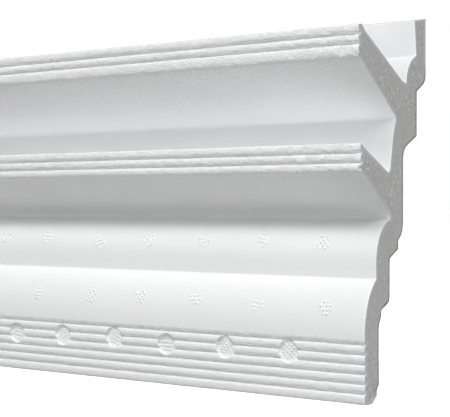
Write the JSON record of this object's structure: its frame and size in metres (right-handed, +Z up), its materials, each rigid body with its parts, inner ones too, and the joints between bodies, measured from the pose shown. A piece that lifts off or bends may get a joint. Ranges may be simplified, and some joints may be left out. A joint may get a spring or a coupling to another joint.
{
  "type": "cornice moulding length",
  "caption": "Straight length of moulded foam cornice: slanting flanges that form light troughs, convex waves and a ribbed lower band, with a stepped back and a flat strip for the wall.",
  "frame": {"origin": "middle of the flat strip at the top of the back, which bears on the wall, half way along the length", "axes": "+X along the length, +Y back into the wall, +Z up; the moulded front faces -Y"},
  "size_m": [0.25, 0.0503, 0.1502],
  "materials": {
    "foam": "white expanded polystyrene foam, matt, with the outlines of fused beads faintly showing and a greyer, grainy sawn face at both cut ends"
  },
  "bodies": {
    "root": {"cornice_moulding": "foam"}
  },
  "joints": []
}
